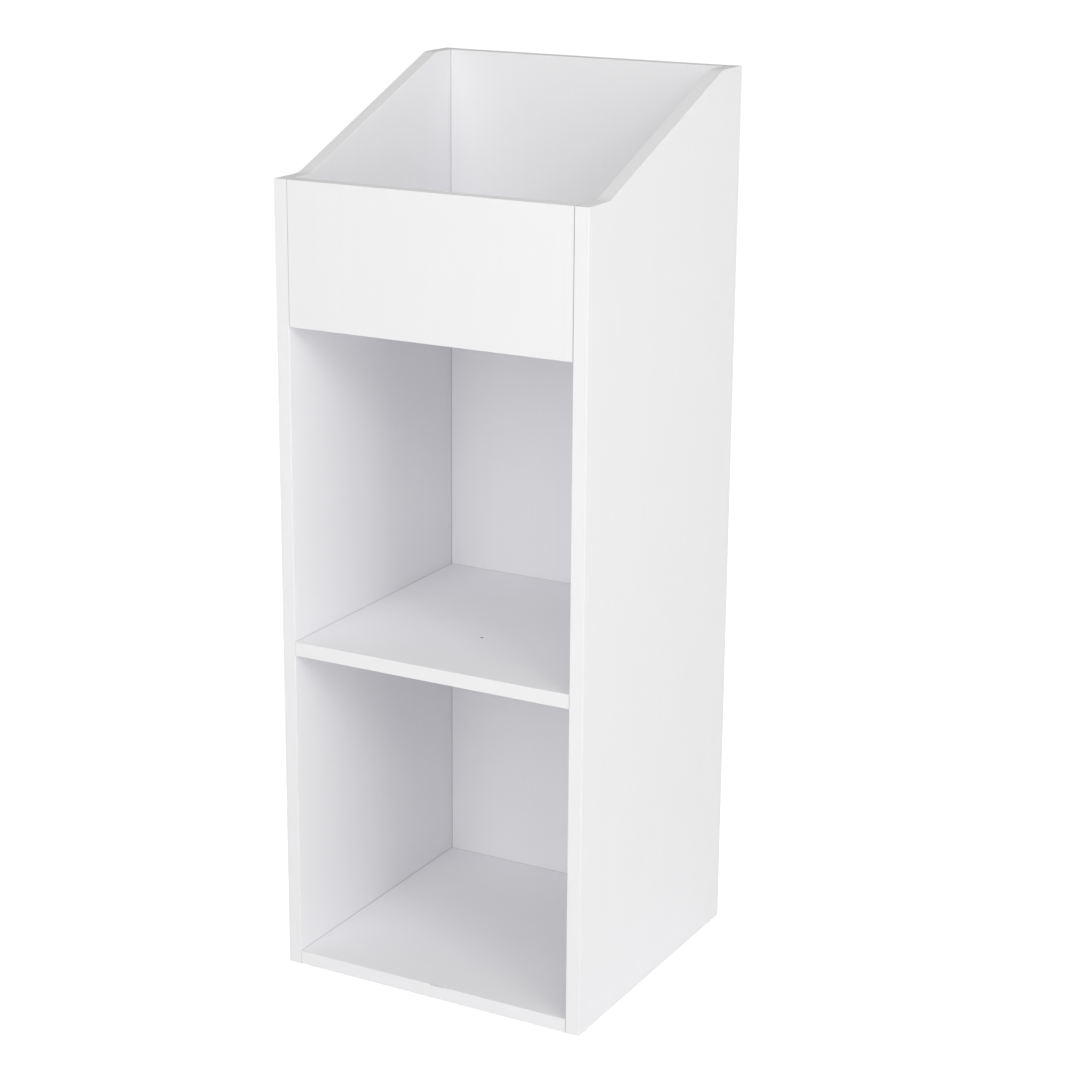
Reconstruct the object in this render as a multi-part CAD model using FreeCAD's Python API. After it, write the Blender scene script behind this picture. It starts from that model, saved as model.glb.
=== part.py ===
"""Book drop box: a tall white cabinet of flat-pack boards.

An open bin with sloping cheeks sits on top of two open compartments. Every board is
16 mm melamine-faced chipboard with glued edge bands, and the boards are held together
by cam locks, connecting bolts and wooden dowels.

Frame: X is the width and Y the depth, with the open front towards -Y. Z is up. The
origin is on the floor, below the middle of the cabinet. All sizes are in millimetres.
"""
import FreeCAD, Part
import math
import os

# ---- overall sizes -----------------------------------------------------------------
WIDTH = 372.0            # over the two side boards
DEPTH = 356.0            # front edge to rear edge of a side board
SIDE_HEIGHT = 1000.0     # side board at its tall rear end, without the glides
BOARD = 16.0             # thickness of every board

# ---- side board outline ------------------------------------------------------------
SLOPE_RISE = 105.0       # how much higher the rear end is than the front end
FRONT_FLAT = 46.0        # level stretch at the low front end
REAR_FLAT = 48.0         # level stretch at the tall rear end
HOLLOW_RADIUS = 45.0     # round where the front level turns up into the slope
CREST_RADIUS = 30.0      # round where the slope runs out into the rear level

# ---- inside layout -----------------------------------------------------------------
BIN_FRONT_HEIGHT = 157.0   # board across the front of the bin
MIDDLE_CLEAR = 352.0       # free height of the middle compartment; the lower gets the rest
PILOT_DIAMETER = 3.0       # small hole drilled in the middle shelf
PILOT_DEPTH = 8.0
PILOT_BEHIND_FRONT = 115.0

# ---- edges and gaps ----------------------------------------------------------------
BAND = 0.8               # thickness of a glued edge band
BAND_ROUND = 0.6         # radius on a band's two long outer corners
BUTT_GAP = 0.1           # gap where the end of one board meets the face of another
CAP_TO_REAR_EDGE = 0.6   # how far the rear cover caps stay inside the side boards' edges

# ---- cam lock and its bolt ---------------------------------------------------------
CAM_BORE = 15.0          # bore for the cam, in the face of a board
CAM_REACH = 24.0         # cam axis to the face that the board's end meets
CAM_SIDE_GAP = 0.1       # between cam and bore, all round
CAM_END_GAP = 0.2        # under the cam, and between its top and the board's face
CAM_TURN = 135.0         # degrees that the cam has turned to lock
CAM_MOUTH_GAP = 0.2      # round the bolt's head and neck in the cam's mouth and slot
CAM_CHAMBER_GAP = 0.4    # round the bolt's head in the cam's chamber
CAM_FLOOR = 0.4          # thickness of the cam below its chamber
CROSS_LENGTH = 5.2       # driver recess in the cam's top
CROSS_WIDTH = 1.1
CROSS_DEPTH = 2.0
ARROW_LENGTH = 2.2       # engraved arrow that shows the cam's mouth
ARROW_DEPTH = 0.3
BOLT_HEAD = 7.0          # round head, caught by the cam
BOLT_HEAD_CUT = 0.8      # how much of the head's ball is cut flat for the driver recess
BOLT_CROSS_LENGTH = 3.2
BOLT_CROSS_WIDTH = 0.8
BOLT_CROSS_DEPTH = 1.8
BOLT_NECK = 3.8
BOLT_SHAFT = 6.0
BOLT_SHAFT_TO_CAM = 0.5  # the shaft stops this far outside the cam's bore
BOLT_COLLAR_GAP = 0.2    # round the collar that stops the bolt at the side board's face
BOLT_COLLAR_LENGTH = 2.5
BOLT_CREST = 6.2         # over the thread
BOLT_ROOT = 4.4          # under the thread
BOLT_THREAD_LENGTH = 11.0
BOLT_PITCH = 1.8
BOLT_WAY_GAP = 0.5       # round the head as it passes through the bore in the board's end
THREAD_GAP = 0.1         # between the thread's crest and the bore it has cut
BORE_SPARE = 0.5         # how much deeper a blind bore is than what sits in it

# ---- dowels ------------------------------------------------------------------------
DOWEL = 8.0
DOWEL_GAP = 0.05         # between dowel and bore, all round
DOWEL_IN_FACE = 10.0     # length in the board whose face is drilled
DOWEL_IN_END = 20.0      # length in the board whose end is drilled
DOWEL_CHAMFER = 1.0

# ---- cover caps --------------------------------------------------------------------
CAP_LIP = 1.0            # how far the cap covers the face round the cam's bore
CAP_THICKNESS = 0.9
CAP_ROUND = 0.5
CAP_PEG_GAP = 0.1        # between the cap's cross-shaped peg and the driver recess

# ---- glides ------------------------------------------------------------------------
GLIDE_HEIGHT = 3.0
GLIDE_MARGIN = 1.0       # from the pad's edge to the side board's face
GLIDE_ROUND = 1.0
GLIDE_FROM_EDGE = 20.0   # pad centre to the side board's front or rear edge
NAIL = 1.8
NAIL_HEAD = 5.0
NAIL_HEAD_THICKNESS = 1.0
NAIL_IN_BOARD = 12.0
NAIL_POINT = 2.5
NAIL_GAP = 0.1           # round the nail's head in the pad
NAIL_HEAD_SUNK = 0.5     # the head stays this far above the floor

# ---- where the fittings sit --------------------------------------------------------
SHELF_CAM_INSET = 37.0     # cam line to the front or rear edge of a level board
SHELF_DOWEL_INSET = 69.0   # dowel line to the same edge
REAR_DOWEL_INSET = 70.0    # dowels into the back board or bin front, from the side board
BACK_CAM_MARGIN = 80.0     # lowest and highest cam of the back board, from its ends
BACK_CAM_ROWS = 3
BACK_DOWEL_STEP = 40.0     # a dowel's distance from the cam beside it
BIN_FRONT_DOWEL_STEP = 45.0

# ---- places that follow from the sizes ---------------------------------------------
BASE_Z = GLIDE_HEIGHT
TOP_Z = BASE_Z + SIDE_HEIGHT
FRONT_TOP_Z = TOP_Z - SLOPE_RISE
FRONT_Y = -DEPTH / 2
REAR_Y = DEPTH / 2
INNER_X = WIDTH / 2 - BOARD
BACK_REAR_Y = REAR_Y - CAP_THICKNESS - CAP_TO_REAR_EDGE
BACK_FRONT_Y = BACK_REAR_Y - BOARD
BIN_INNER_Y = FRONT_Y + BOARD
BIN_BOTTOM_Z = FRONT_TOP_Z - BIN_FRONT_HEIGHT
SHELF_BOTTOM_Z = BIN_BOTTOM_Z - MIDDLE_CLEAR - BOARD
CAM_ROOM = BOLT_HEAD / 2 + CAM_CHAMBER_GAP
CAM_BELOW_AXIS = CAM_ROOM + CAM_FLOOR + CAM_END_GAP
END_BORE_RADIUS = BOLT_HEAD / 2 + BOLT_WAY_GAP
COLLAR_RADIUS = END_BORE_RADIUS - BOLT_COLLAR_GAP

RIGHT = FreeCAD.Vector(1, 0, 0)
LEFT = FreeCAD.Vector(-1, 0, 0)
BACK = FreeCAD.Vector(0, 1, 0)
FRONT = FreeCAD.Vector(0, -1, 0)
UP = FreeCAD.Vector(0, 0, 1)
DOWN = FreeCAD.Vector(0, 0, -1)
ORIGIN = FreeCAD.Vector(0, 0, 0)

nodes = {}     # node name: its list of solids
bores = {}     # board name: what is drilled out of it


def point(x, y, z):
    return FreeCAD.Vector(x, y, z)


def box(x0, x1, y0, y1, z0, z1):
    return Part.makeBox(x1 - x0, y1 - y0, z1 - z0, point(x0, y0, z0))


def joined(first, *others):
    return first.fuse(list(others)).removeSplitter()


def spun(outline, about=RIGHT):
    """Solid of revolution of a closed wire about an axis through the origin."""
    return Part.Face(outline).revolve(ORIGIN, about, 360)


def outline_of(points):
    return Part.makePolygon(points + points[:1])


# ---- boards and edge bands ---------------------------------------------------------
def cheek_top(inset, y_from, y_to):
    """Edges along the top of a side board, moved inwards by inset, from front to rear."""
    run = DEPTH - FRONT_FLAT - REAR_FLAT
    angle = math.atan2(SLOPE_RISE, run)
    shift = inset * math.tan(angle / 2)
    low = point(0, FRONT_Y + FRONT_FLAT + shift, FRONT_TOP_Z - inset)
    high = point(0, REAR_Y - REAR_FLAT + shift, TOP_Z - inset)
    slope = point(0, math.cos(angle), math.sin(angle))
    across = point(0, -math.sin(angle / 2), math.cos(angle / 2))
    hollow = rounded_corner(low, BACK, slope, across, HOLLOW_RADIUS + inset, angle)
    crest = rounded_corner(high, slope, BACK, -across, CREST_RADIUS - inset, angle)
    start = point(0, y_from, low.z)
    end = point(0, y_to, high.z)
    return [
        Part.makeLine(start, hollow.firstVertex().Point),
        hollow,
        Part.makeLine(hollow.lastVertex().Point, crest.firstVertex().Point),
        crest,
        Part.makeLine(crest.lastVertex().Point, end),
    ]


def rounded_corner(corner, arriving, leaving, to_centre, radius, angle):
    """Arc that rounds a corner where the line turns by angle."""
    back_off = radius * math.tan(angle / 2)
    rise = radius * (1 / math.cos(angle / 2) - 1)
    start = corner - arriving * back_off
    end = corner + leaving * back_off
    return Part.Arc(start, corner + to_centre * rise, end).toShape()


def closed_by_lines(top_edges, corners):
    """Wire of the top edges, then straight lines through the corners back to the start."""
    stops = [top_edges[-1].lastVertex().Point] + corners + [top_edges[0].firstVertex().Point]
    lines = [Part.makeLine(a, b) for a, b in zip(stops, stops[1:])]
    return Part.Wire(Part.__sortEdges__(top_edges + lines))


def side_board():
    """Core of a side board, in the YZ plane from X = 0 to X = BOARD."""
    front = FRONT_Y + BAND
    rear = REAR_Y - BAND
    corners = [point(0, rear, BASE_Z), point(0, front, BASE_Z)]
    outline = closed_by_lines(cheek_top(BAND, front, rear), corners)
    return Part.Face(outline).extrude(RIGHT * BOARD)


def cheek_top_band():
    """Band along the level, sloping and level top of a side board."""
    outer = cheek_top(0, FRONT_Y, REAR_Y)
    inner = cheek_top(BAND, FRONT_Y, REAR_Y)
    front_end = Part.makeLine(outer[0].firstVertex().Point, inner[0].firstVertex().Point)
    rear_end = Part.makeLine(outer[-1].lastVertex().Point, inner[-1].lastVertex().Point)
    outline = Part.Wire(Part.__sortEdges__(outer + inner + [front_end, rear_end]))
    strip = Part.Face(outline).extrude(RIGHT * BOARD)
    skin = Part.Wire(outer)
    return strip.makeFillet(band_round(), [e for e in strip.Edges if is_rim(e, skin)])


def is_rim(edge, skin):
    """True for a long edge that runs along the skin, seen from the side."""
    runs_along = abs(edge.BoundBox.XLength) < BAND / 4 and edge.Length > 2 * BAND
    middle = edge.valueAt((edge.FirstParameter + edge.LastParameter) / 2)
    gap = skin.distToShape(Part.Vertex(point(0, middle.y, middle.z)))[0]
    return runs_along and gap < BAND / 4


def band_round():
    return min(BAND_ROUND, 0.9 * BAND)


def straight_band(length, start, along, outward):
    """Band of the given length that starts at one end, centred on the board's thickness."""
    half = BOARD / 2
    radius = band_round()
    slant = radius * math.sqrt(0.5)
    flat = BAND - radius
    side = half - radius
    edges = [
        Part.makeLine(point(-half, 0, 0), point(half, 0, 0)),
        Part.makeLine(point(half, 0, 0), point(half, flat, 0)),
        Part.Arc(point(half, flat, 0), point(side + slant, flat + slant, 0),
                 point(side, BAND, 0)).toShape(),
        Part.makeLine(point(side, BAND, 0), point(-side, BAND, 0)),
        Part.Arc(point(-side, BAND, 0), point(-side - slant, flat + slant, 0),
                 point(-half, flat, 0)).toShape(),
        Part.makeLine(point(-half, flat, 0), point(-half, 0, 0)),
    ]
    strip = Part.Face(Part.Wire(edges)).extrude(UP * length)
    strip.Placement = axes_at(start, outward.cross(along), along)
    return strip


def axes_at(origin, x_axis, z_axis):
    """Placement whose local X and Z point along the given axes."""
    turn = FreeCAD.Rotation(x_axis, z_axis.cross(x_axis), z_axis, "ZXY")
    return FreeCAD.Placement(origin, turn)


def crosswise(y0, y1, z0, z1):
    """Board that fits between the two side boards."""
    reach = INNER_X - BUTT_GAP
    return box(-reach, reach, y0, y1, z0, z1)


def crosswise_band(y, z, outward):
    """Edge band along a board that fits between the side boards."""
    reach = INNER_X - BUTT_GAP
    return straight_band(2 * reach, point(-reach, y, z), RIGHT, outward)


# ---- fittings, each drawn once about its joint's own axes ---------------------------
# X runs from the face that the board's end meets into that board, along the bolt or
# dowel, and Z points out of the cam's bore.
def driver_cross(length, width, top, depth):
    """Cross-shaped recess or peg about the Z axis, from its top down."""
    bar = box(-length / 2, length / 2, -width / 2, width / 2, top - depth, top)
    other = bar.copy()
    other.rotate(ORIGIN, UP, 90)
    return joined(bar, other)


def cam_lock():
    """Round zinc cam: a chamber for the bolt's head, its mouth, and a slot for the neck."""
    radius = CAM_BORE / 2 - CAM_SIDE_GAP
    bottom = CAM_END_GAP - CAM_BELOW_AXIS
    top = BOARD / 2 - CAM_END_GAP
    body = Part.makeCylinder(radius, top - bottom, point(0, 0, bottom))
    chamber = Part.makeCylinder(CAM_ROOM, 2 * CAM_ROOM, point(0, 0, -CAM_ROOM))
    neck_half = BOLT_NECK / 2 + CAM_MOUTH_GAP
    mouth_angle = 180 - CAM_TURN
    slot = Part.makeCylinder(2 * radius, 2 * neck_half, point(0, 0, -neck_half), UP, CAM_TURN)
    slot.rotate(ORIGIN, UP, mouth_angle)
    neck_way = box(-2 * radius, 0, -neck_half, neck_half, -neck_half, neck_half)
    mouth_way = direction(mouth_angle)
    mouth = Part.makeCylinder(BOLT_HEAD / 2 + CAM_MOUTH_GAP, 2 * radius, ORIGIN, mouth_way)
    recess = driver_cross(CROSS_LENGTH, CROSS_WIDTH, top, CROSS_DEPTH)
    tip = radius - CAM_END_GAP - BORE_SPARE
    base = tip - ARROW_LENGTH
    arrow = outline_of([point(tip, 0, 0), point(base, ARROW_LENGTH / 2, 0),
                        point(base, -ARROW_LENGTH / 2, 0)])
    arrow = Part.Face(arrow).extrude(UP * ARROW_DEPTH)
    arrow.rotate(ORIGIN, UP, mouth_angle)
    arrow.translate(point(0, 0, top - ARROW_DEPTH))
    lock = body.cut([chamber, slot, neck_way, mouth, recess, arrow])
    lock.translate(point(CAM_REACH, 0, 0))
    return lock


def direction(degrees):
    return point(math.cos(math.radians(degrees)), math.sin(math.radians(degrees)), 0)


def thread_outline():
    """Points along the bolt's thread, drawn as rings of the thread's own pitch."""
    crest = BOLT_CREST / 2
    root = BOLT_ROOT / 2
    tip = -BOLT_THREAD_LENGTH
    points = [point(tip, 0, 0), point(tip, root - BOLT_PITCH / 2, 0)]
    count = int((BOLT_THREAD_LENGTH - BOLT_PITCH) / BOLT_PITCH)
    for ring in range(count):
        start = tip + BOLT_PITCH * (ring + 0.5)
        points.append(point(start, root, 0))
        points.append(point(start + BOLT_PITCH * 0.4, crest, 0))
        points.append(point(start + BOLT_PITCH * 0.6, crest, 0))
    points.append(point(tip + BOLT_PITCH * (count + 0.5), root, 0))
    return points


def cam_bolt():
    """Steel bolt: thread in the side board, collar, shaft, neck and round head."""
    shaft_end = CAM_REACH - CAM_BORE / 2 - BOLT_SHAFT_TO_CAM
    head = BOLT_HEAD / 2
    neck = BOLT_NECK / 2
    neck_end = CAM_REACH - math.sqrt(head ** 2 - neck ** 2)
    flat = head - BOLT_HEAD_CUT
    flat_radius = math.sqrt(head ** 2 - flat ** 2)
    points = thread_outline() + [
        point(0, BOLT_ROOT / 2, 0),
        point(0, COLLAR_RADIUS, 0),
        point(BOLT_COLLAR_LENGTH, COLLAR_RADIUS, 0),
        point(BOLT_COLLAR_LENGTH, BOLT_SHAFT / 2, 0),
        point(shaft_end, BOLT_SHAFT / 2, 0),
        point(shaft_end, neck, 0),
        point(neck_end, neck, 0),
    ]
    ball = Part.Arc(points[-1], point(CAM_REACH, head, 0), point(CAM_REACH + flat, flat_radius, 0))
    axis_end = point(CAM_REACH + flat, 0, 0)
    edges = Part.makePolygon(points).Edges + [
        ball.toShape(),
        Part.makeLine(point(CAM_REACH + flat, flat_radius, 0), axis_end),
        Part.makeLine(axis_end, points[0]),
    ]
    bolt = spun(Part.Wire(Part.__sortEdges__(edges)))
    recess = driver_cross(BOLT_CROSS_LENGTH, BOLT_CROSS_WIDTH, 0, BOLT_CROSS_DEPTH)
    recess.Placement = axes_at(axis_end, BACK, RIGHT)
    return bolt.cut(recess)


def dowel():
    """Beech dowel with a chamfer at each end."""
    radius = DOWEL / 2
    start = -DOWEL_IN_FACE
    end = DOWEL_IN_END
    chamfer = DOWEL_CHAMFER
    return spun(outline_of([
        point(start, 0, 0),
        point(start, radius - chamfer, 0),
        point(start + chamfer, radius, 0),
        point(end - chamfer, radius, 0),
        point(end, radius - chamfer, 0),
        point(end, 0, 0),
    ]))


def cover_cap():
    """Thin round cap over a cam, held by a cross-shaped peg in the cam's driver recess."""
    face = BOARD / 2
    disc = Part.makeCylinder(CAM_BORE / 2 + CAP_LIP, CAP_THICKNESS, point(0, 0, face))
    rim = [e for e in disc.Edges if e.BoundBox.ZMin > face + CAP_THICKNESS / 2]
    disc = disc.makeFillet(min(CAP_ROUND, 0.9 * CAP_THICKNESS), rim)
    depth = CAM_END_GAP + CROSS_DEPTH - CAP_PEG_GAP
    length = CROSS_LENGTH - 2 * CAP_PEG_GAP
    peg = driver_cross(length, CROSS_WIDTH - 2 * CAP_PEG_GAP, face, depth)
    cap = joined(disc, peg)
    cap.translate(point(CAM_REACH, 0, 0))
    return cap


def glide_pad():
    """Plastic pad under a side board, with a stepped hole for its nail; Z = 0 is the floor."""
    radius = BOARD / 2 - GLIDE_MARGIN
    pad = Part.makeCylinder(radius, GLIDE_HEIGHT)
    rim = [e for e in pad.Edges if e.BoundBox.ZMax < GLIDE_HEIGHT / 2]
    pad = pad.makeFillet(min(GLIDE_ROUND, 0.9 * GLIDE_HEIGHT), rim)
    head_room = NAIL_HEAD_SUNK + NAIL_HEAD_THICKNESS
    head_bore = Part.makeCylinder(NAIL_HEAD / 2 + NAIL_GAP, head_room)
    shank_bore = Part.makeCylinder(NAIL / 2 + NAIL_GAP, GLIDE_HEIGHT)
    return pad.cut([head_bore, shank_bore])


def glide_nail():
    """Nail that holds a glide; its head is sunk in the pad and its point is in the board."""
    under_head = NAIL_HEAD_SUNK + NAIL_HEAD_THICKNESS
    end = GLIDE_HEIGHT + NAIL_IN_BOARD
    return spun(outline_of([
        point(0, 0, NAIL_HEAD_SUNK),
        point(NAIL_HEAD / 2, 0, NAIL_HEAD_SUNK),
        point(NAIL_HEAD / 2, 0, under_head),
        point(NAIL / 2, 0, under_head),
        point(NAIL / 2, 0, end - NAIL_POINT),
        point(0, 0, end),
    ]), UP)


# ---- joints ------------------------------------------------------------------------
def bolt_bores():
    """What a cam joint drills: out of the board's end and face, and out of its mate."""
    cam_bore = Part.makeCylinder(CAM_BORE / 2, BOARD, point(CAM_REACH, 0, -CAM_BELOW_AXIS))
    end_bore = Part.makeCylinder(END_BORE_RADIUS, CAM_REACH, ORIGIN, RIGHT)
    depth = BOLT_THREAD_LENGTH + BORE_SPARE
    mate_bore = Part.makeCylinder(BOLT_CREST / 2 + THREAD_GAP, depth, ORIGIN, LEFT)
    return joined(cam_bore, end_bore), mate_bore


def dowel_bores():
    """What a dowel joint drills: out of the board's end, and out of its mate."""
    radius = DOWEL / 2 + DOWEL_GAP
    end_bore = Part.makeCylinder(radius, DOWEL_IN_END + BORE_SPARE, ORIGIN, RIGHT)
    mate_bore = Part.makeCylinder(radius, DOWEL_IN_FACE + BORE_SPARE, ORIGIN, LEFT)
    return end_bore, mate_bore


def placed(shape, place):
    copy = shape.copy()
    copy.Placement = place.multiply(shape.Placement)
    return copy


def add(node, shape, place):
    nodes.setdefault(node, []).append(placed(shape, place))


def drill(board, shape, place):
    bores.setdefault(board, []).append(placed(shape, place))


def cam_joint(board, mate, place):
    """Cam lock and bolt that pull a board's end against the face of its mate."""
    in_board, in_mate = CAM_BORES
    drill(board, in_board, place)
    drill(mate, in_mate, place)
    add(board_name(board) + "_cam_locks", CAM_LOCK, place)
    add(board_name(board) + "_cam_bolts", CAM_BOLT, place)


def dowel_joint(board, mate, place, node):
    in_board, in_mate = DOWEL_BORES
    drill(board, in_board, place)
    drill(mate, in_mate, place)
    add(node, DOWEL_PIN, place)


def board_name(board):
    """The board's name as its fittings use it: the shelf and the bin drop the word board."""
    return board if board in ("bottom_board", "back_board") else board.removesuffix("_board")


def side_ends():
    """For each side board: its name, its inner face and the way into the boards between."""
    return [("left_side_board", -INNER_X, RIGHT), ("right_side_board", INNER_X, LEFT)]


def level_board_joints(board, front_y, z):
    """Two cams and two dowels at each end of a level board, and two dowels at its rear."""
    rear_y = BACK_FRONT_Y - BUTT_GAP
    side_dowels = board_name(board) + "_side_dowels"
    for mate, x, inward in side_ends():
        for edge_y, step in ((front_y, 1), (rear_y, -1)):
            cam_at = point(x, edge_y + step * SHELF_CAM_INSET, z)
            cam_joint(board, mate, axes_at(cam_at, inward, DOWN))
            dowel_at = point(x, edge_y + step * SHELF_DOWEL_INSET, z)
            dowel_joint(board, mate, axes_at(dowel_at, inward, DOWN), side_dowels)
    for x in rear_dowel_places():
        place = axes_at(point(x, BACK_FRONT_Y, z), FRONT, DOWN)
        dowel_joint(board, "back_board", place, board_name(board) + "_rear_dowels")


def rear_dowel_places():
    return (REAR_DOWEL_INSET - INNER_X, INNER_X - REAR_DOWEL_INSET)


def bin_joints():
    """Joints of the board across the front of the bin, with caps over its cams."""
    y = FRONT_Y + BOARD / 2
    middle_z = (BIN_BOTTOM_Z + FRONT_TOP_Z) / 2
    for mate, x, inward in side_ends():
        place = axes_at(point(x, y, middle_z), inward, BACK)
        cam_joint("bin_front_board", mate, place)
        add("bin_front_cam_caps", COVER_CAP, place)
        for step in (-BIN_FRONT_DOWEL_STEP, BIN_FRONT_DOWEL_STEP):
            place = axes_at(point(x, y, middle_z + step), inward, BACK)
            dowel_joint("bin_front_board", mate, place, "bin_front_side_dowels")
    for x in rear_dowel_places():
        place = axes_at(point(x, BIN_INNER_Y, BIN_BOTTOM_Z + BOARD / 2), BACK, DOWN)
        dowel_joint("bin_floor_board", "bin_front_board", place, "bin_floor_front_dowels")


def back_board_joints():
    """Rows of cams up each side of the back board, with caps, and a dowel beside each."""
    y = BACK_REAR_Y - BOARD / 2
    spacing = (SIDE_HEIGHT - 2 * BACK_CAM_MARGIN) / (BACK_CAM_ROWS - 1)
    for mate, x, inward in side_ends():
        for row in range(BACK_CAM_ROWS):
            z = BASE_Z + BACK_CAM_MARGIN + row * spacing
            place = axes_at(point(x, y, z), inward, BACK)
            cam_joint("back_board", mate, place)
            add("back_board_cam_caps", COVER_CAP, place)
            step = -BACK_DOWEL_STEP if row == BACK_CAM_ROWS - 1 else BACK_DOWEL_STEP
            place = axes_at(point(x, y, z + step), inward, BACK)
            dowel_joint("back_board", mate, place, "back_board_side_dowels")


def glides():
    """Four nailed glides, two under each side board."""
    middle_x = WIDTH / 2 - BOARD / 2
    for mate, x in (("left_side_board", -middle_x), ("right_side_board", middle_x)):
        for y in (FRONT_Y + GLIDE_FROM_EDGE, REAR_Y - GLIDE_FROM_EDGE):
            place = FreeCAD.Placement(point(x, y, 0), FreeCAD.Rotation())
            add("glide_pads", glide_pad(), place)
            add("glide_nails", glide_nail(), place)
            drill(mate, glide_nail(), place)


# ---- the boards, before and after drilling ------------------------------------------
def side_boards_and_bands():
    for side, x in (("left_side", -WIDTH / 2), ("right_side", INNER_X)):
        place = FreeCAD.Placement(point(x, 0, 0), FreeCAD.Rotation())
        middle = x + BOARD / 2
        front = straight_band(FRONT_TOP_Z - BAND - BASE_Z, point(middle, FRONT_Y + BAND, BASE_Z), UP, FRONT)
        rear = straight_band(TOP_Z - BAND - BASE_Z, point(middle, REAR_Y - BAND, BASE_Z), UP, BACK)
        add(side + "_board", side_board(), place)
        add(side + "_top_edge_band", cheek_top_band(), place)
        nodes[side + "_front_edge_band"] = [front]
        nodes[side + "_rear_edge_band"] = [rear]


def crosswise_boards_and_bands():
    rear_y = BACK_FRONT_Y - BUTT_GAP
    front_y = FRONT_Y + BAND
    half = BOARD / 2
    bin_floor_front_y = BIN_INNER_Y + BUTT_GAP
    bottom = crosswise(front_y, rear_y, BASE_Z, BASE_Z + BOARD)
    shelf = crosswise(front_y, rear_y, SHELF_BOTTOM_Z, SHELF_BOTTOM_Z + BOARD)
    bin_floor = crosswise(bin_floor_front_y, rear_y, BIN_BOTTOM_Z, BIN_BOTTOM_Z + BOARD)
    bin_front = crosswise(FRONT_Y, BIN_INNER_Y, BIN_BOTTOM_Z + BAND, FRONT_TOP_Z - BAND)
    back = crosswise(BACK_FRONT_Y, BACK_REAR_Y, BASE_Z, TOP_Z - BAND)
    nodes["bottom_board"] = [bottom]
    nodes["middle_shelf_board"] = [shelf]
    nodes["bin_floor_board"] = [bin_floor]
    nodes["bin_front_board"] = [bin_front]
    nodes["back_board"] = [back]
    nodes["bottom_board_front_edge_band"] = [crosswise_band(front_y, BASE_Z + half, FRONT)]
    nodes["middle_shelf_front_edge_band"] = [crosswise_band(front_y, SHELF_BOTTOM_Z + half, FRONT)]
    bin_y = FRONT_Y + half
    nodes["bin_front_top_edge_band"] = [crosswise_band(bin_y, FRONT_TOP_Z - BAND, UP)]
    nodes["bin_front_bottom_edge_band"] = [crosswise_band(bin_y, BIN_BOTTOM_Z + BAND, DOWN)]
    back_y = BACK_FRONT_Y + half
    nodes["back_board_top_edge_band"] = [crosswise_band(back_y, TOP_Z - BAND, UP)]


def pilot_hole():
    """Small blind hole in the top of the middle shelf, on its centre line."""
    top = SHELF_BOTTOM_Z + BOARD
    hole = Part.makeCylinder(PILOT_DIAMETER / 2, PILOT_DEPTH, ORIGIN, DOWN)
    place = FreeCAD.Placement(point(0, FRONT_Y + PILOT_BEHIND_FRONT, top), FreeCAD.Rotation())
    drill("middle_shelf_board", hole, place)


CAM_LOCK = cam_lock()
CAM_BOLT = cam_bolt()
DOWEL_PIN = dowel()
COVER_CAP = cover_cap()
CAM_BORES = bolt_bores()
DOWEL_BORES = dowel_bores()

side_boards_and_bands()
crosswise_boards_and_bands()
level_board_joints("bottom_board", FRONT_Y, BASE_Z + BOARD / 2)
level_board_joints("middle_shelf_board", FRONT_Y, SHELF_BOTTOM_Z + BOARD / 2)
level_board_joints("bin_floor_board", BIN_INNER_Y + BUTT_GAP, BIN_BOTTOM_Z + BOARD / 2)
bin_joints()
back_board_joints()
glides()
pilot_hole()

for board, holes in bores.items():
    nodes[board] = nodes[board][0].cut(holes).Solids

os.makedirs("parts", exist_ok=True)
for name, solids in sorted(nodes.items()):
    shape = solids[0] if len(solids) == 1 else Part.makeCompound(solids)
    assert shape.isValid(), name
    shape.exportStep(f"parts/{name}.step")
    print(f"{name}: {len(solids)} solid(s), {shape.Volume / 1000:.2f} cm3")
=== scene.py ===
# %% [markdown]
# # A book drop box in white melamine
# This lesson dresses a finished CAD model: a library's book drop box, a tall cabinet with
# an open bin on top and two open compartments below. The boards, their drilling and every
# fitting already have their true shape and place. What is left is how they look: satin
# white faces, raw chipboard where a board was cut, plastic edge bands, zinc and steel.
# Each step says first what the thing is, then how Blender can make it, then why this way.

# %% Load the CAD model as the frame
import math

import bmesh
import bpy
from mathutils import Matrix, Vector


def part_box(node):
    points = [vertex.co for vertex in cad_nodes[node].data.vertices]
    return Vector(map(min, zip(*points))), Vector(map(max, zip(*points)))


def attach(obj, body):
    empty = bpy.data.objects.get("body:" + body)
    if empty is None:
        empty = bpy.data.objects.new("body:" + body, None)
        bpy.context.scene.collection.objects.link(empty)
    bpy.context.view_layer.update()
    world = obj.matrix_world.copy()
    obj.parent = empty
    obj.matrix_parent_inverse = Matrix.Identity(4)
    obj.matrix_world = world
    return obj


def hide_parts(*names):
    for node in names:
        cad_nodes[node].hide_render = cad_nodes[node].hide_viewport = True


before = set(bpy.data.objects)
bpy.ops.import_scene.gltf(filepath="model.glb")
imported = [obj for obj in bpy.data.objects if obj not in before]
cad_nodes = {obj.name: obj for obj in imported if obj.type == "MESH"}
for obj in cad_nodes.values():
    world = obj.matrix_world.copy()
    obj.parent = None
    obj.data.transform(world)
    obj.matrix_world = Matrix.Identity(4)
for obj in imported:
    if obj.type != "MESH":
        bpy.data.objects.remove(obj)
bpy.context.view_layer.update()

MM = 0.001

# %% [markdown]
# ## Camera
# Furniture is shown from a little above and to one side, through a long lens, so that
# upright edges stay nearly parallel. A camera could be dragged about until it looks right.
# This one is placed by angles and a distance from a point on the cabinet's middle line,
# because each number then does one thing: more azimuth shows more of the side, more
# elevation shows more of the bin. The small shift sets the cabinet left of the middle.

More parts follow.
